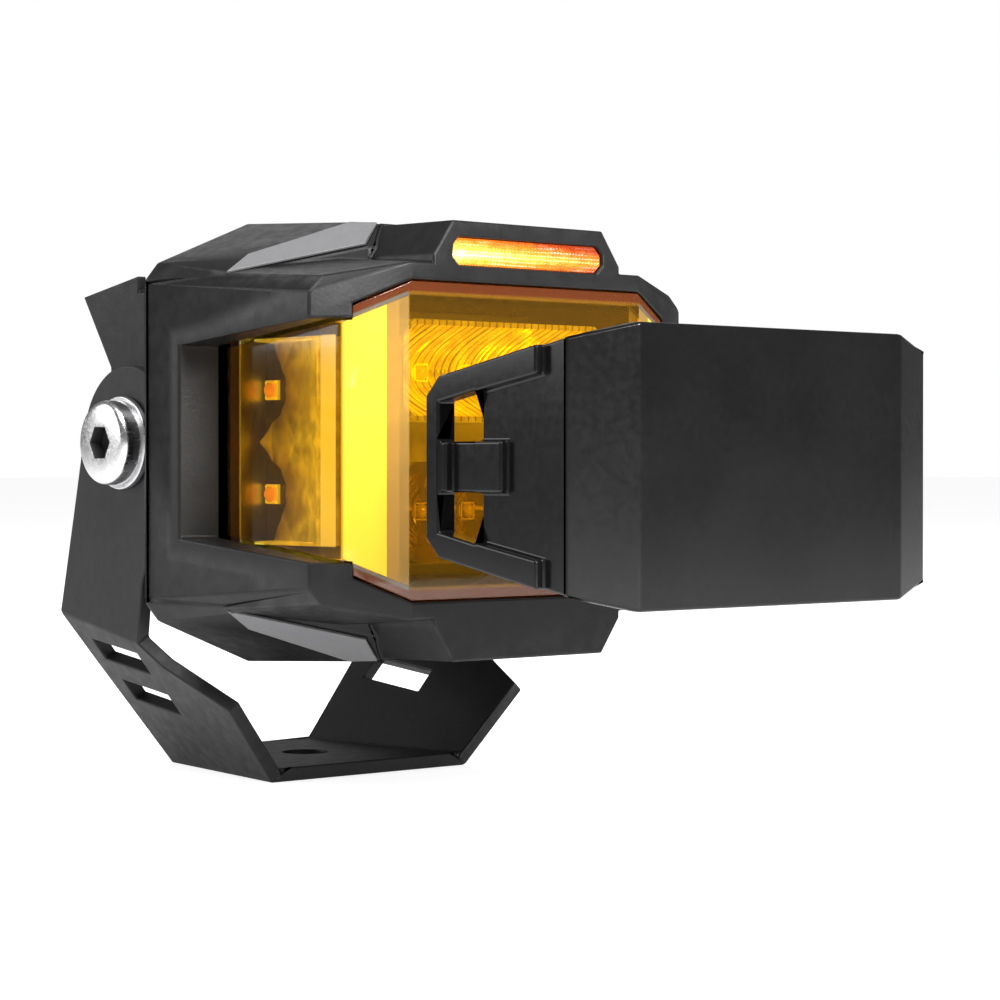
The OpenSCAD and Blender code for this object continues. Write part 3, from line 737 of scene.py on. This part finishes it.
def ring_gland_nut(material):
    """Domed gland nut with grip ribs."""
    low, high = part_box("gland_nut")
    centre_x, centre_z = (low.x + high.x) / 2, (low.z + high.z) / 2
    outer = (high.x - low.x) / 2
    bore = 0.0030
    start, end = low.y, high.y
    bm = bmesh.new()
    steps = 144
    profile = [(bore, start), (outer - 0.0003, start), (outer, start + 0.0004), (outer, start + 0.0050)]
    shoulder_y, tip_r = start + 0.0052, 0.0046
    for degrees in (12, 30, 50, 70, 86):
        rise = math.sin(math.radians(degrees))
        profile.append((outer - (outer - tip_r) * rise, shoulder_y + (end - start - 0.0056) * rise))
    profile += [(0.0044, end), (bore + 0.0003, end), (bore, end - 0.0003)]
    rings = []
    for index, (radius, y) in enumerate(profile):
        ring = []
        for i in range(steps):
            turn = 2 * math.pi * i / steps
            rib = 0.00022 * (1 if math.cos(18 * turn) > 0 else 0) if 1 <= index <= 4 else 0.0
            r = radius - rib
            ring.append(bm.verts.new((centre_x + r * math.cos(turn), y, centre_z + r * math.sin(turn))))
        rings.append(ring)
    for first, second in zip(rings, rings[1:] + rings[:1]):
        for i in range(steps):
            j = (i + 1) % steps
            bm.faces.new((first[i], first[j], second[j], second[i]))
    mesh = finish_bmesh(bm, "gland_nut")
    smooth_by_angle(mesh, 35)
    return add_piece("gland_nut_ribbed", mesh, "lamp", [material], ["gland_nut"])


# ---------------------------------------------------------------- the lamp
def facing(x, y, z, turn, axis):
    return Matrix.Translation((x, y, z)) @ Matrix.Rotation(turn, 4, axis)


def build():
    housing = powder_coat("charcoal_powder_coat", (0.010, 0.010, 0.0105), 0.40, (0.05, 0.05, 0.05))
    bracket_coat = powder_coat("black_powder_coat", (0.018, 0.018, 0.0185), 0.42, (0.05, 0.05, 0.05))
    steel = metal("stainless_button", (0.90, 0.90, 0.91), 0.24, 1400, (1, 6, 6))
    washer = metal("stainless_washer", (0.70, 0.70, 0.71), 0.32, 1200, (1, 5, 5))
    trim = moulded("satin_trim", (0.17, 0.17, 0.175), 0.36, spread=0.05, coat=0.3, scale=1500, depth=0.08)
    aluminium = metal("milled_aluminium", (0.62, 0.63, 0.64), 0.36, 1000, (5, 1, 1))
    black_oxide = metal("black_oxide", (0.07, 0.07, 0.075), 0.40, 1500, (1, 1, 1))
    nylon = moulded("black_nylon", (0.022, 0.022, 0.023), 0.42)
    rubber = moulded("black_rubber", (0.020, 0.020, 0.021), 0.75, scale=1400)
    silicone = moulded("red_silicone", (0.30, 0.055, 0.04), 0.62)
    pad = moulded("thermal_pad", (0.42, 0.45, 0.50), 0.80, scale=1600)
    vent = moulded("grey_vent", (0.26, 0.27, 0.28), 0.55)
    board = moulded("black_solder_mask", (0.020, 0.024, 0.018), 0.30, spread=0.3, coat=0.4, scale=400)
    green = moulded("green_solder_mask", (0.015, 0.12, 0.045), 0.28, spread=0.3, coat=0.5, scale=350)
    epoxy = moulded("moulded_epoxy", (0.035, 0.035, 0.038), 0.50, scale=1800)
    socket = moulded("socket_black", (0.012, 0.012, 0.012), 0.60)
    package = glowing("led_package", (0.95, 0.76, 0.10), (1.0, 0.78, 0.06), 0.55, 0.35, 900, 0.08)
    dome = glowing("led_dome", (1.0, 0.40, 0.02), (1.0, 0.36, 0.01), 0.75, 0.10, 500, 0.04, Coat_Weight=1.0)
    orange = glowing("led_orange", (1.0, 0.30, 0.03), (1.0, 0.25, 0.01), 1.0, 0.20, 900, 0.06)
    resin = moulded("led_resin", (0.50, 0.36, 0.12), 0.40)
    clear_dome = moulded("led_silicone", (0.42, 0.30, 0.05), 0.10, coat=1.0)
    # Painted light: the upper reflector is a lit copy and the lower one a shaded copy of one metallised
    # plastic; the bowls carry painted glow and painted shade.
    lit_copy_reflector = reflector_metal("painted_light_reflector", (1.0, 0.86, 0.12), 0.42, 0.16, (0.22, 0.14, 0.01), 0.0016)
    dim = reflector_metal("painted_shade_reflector", (0.34, 0.24, 0.06), 0.01, 0.14)
    bowls = reflector_metal("bowl_reflector_painted_glow_and_shade", (1.0, 0.82, 0.10), 0.80, 0.15, (0.10, 0.035, 0.004))

    rounded("foot_bracket", "bracket", bracket_coat, 0.00035, merge=1.2e-4)
    rounded("rear_housing", "lamp", housing, 0.00030)
    rounded("front_bezel", "lamp", housing, 0.00045, merge=1.2e-4)
    rounded("corner_trims", "lamp", trim, 0.00012, 2)
    rounded("lens", "lamp", amber_lens(), 0.00015, 2)
    rounded("bolt_washers", "lamp", washer, 0.00025)
    rounded("pivot_spacers", "lamp", nylon, 0.00015)
    rounded("cable_gland", "lamp", nylon, 0.00030)
    rounded("breather_vent", "lamp", vent, 0.00035)
    rounded("housing_screws", "lamp", black_oxide, 0.00015, 2)
    rounded("lens_cover", "cover", gloss_black(), 0.00045, 3, angle=12)
    rounded("driver_parts", "lamp", epoxy, 0.00025)
    rounded("driver_board", "lamp", green, 0.00012, 2)
    rounded("core_plate", "lamp", aluminium, 0.00030)
    rounded("led_carrier", "lamp", aluminium, 0.00025)
    button_bolt(steel, socket)
    ring_gland_nut(nylon)
    row_reflector("upper_reflector", lit_copy_reflector)
    row_reflector("lower_reflector", dim)
    side_bowls("side_reflector_left", bowls)
    side_bowls("side_reflector_right", bowls)
    marker_prisms(marker_glow())
    lit, unlit = [package, dome, socket], [resin, clear_dome, socket]
    for name, parts in (("upper_leds", lit), ("lower_leds", unlit)):
        low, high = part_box(name)
        mid_z = (low.z + high.z) / 2
        places = [facing(x * MM, high.y, mid_z, math.pi / 2, "X") for x in (-10.5, 0, 10.5)]
        led_group(name, places, parts)
    for name, sign in (("side_leds_left", -1), ("side_leds_right", 1)):
        low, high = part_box(name)
        root = low.x if sign > 0 else high.x
        mid_y = (low.y + high.y) / 2
        turn = sign * math.pi / 2
        led_group(name, [facing(root, mid_y, AXIS_Z + z * MM, turn, "Y") for z in (-9, 9)], lit)
    boards = ("upper_led_board", "lower_led_board", "side_board_left", "side_board_right", "marker_board")
    for name in boards:
        rounded(name, "lamp", board, 0.00010, 2)
    rounded("marker_leds", "lamp", orange, 0.00015, 2)
    rounded("housing_gasket", "lamp", silicone, 0.00012, 2)
    rounded("lens_gasket", "lamp", rubber, 0.00010, 2)
    rounded("heat_pad", "lamp", pad, 0.00015, 2)


place_camera()
light_scene()
lay_floor()
build()
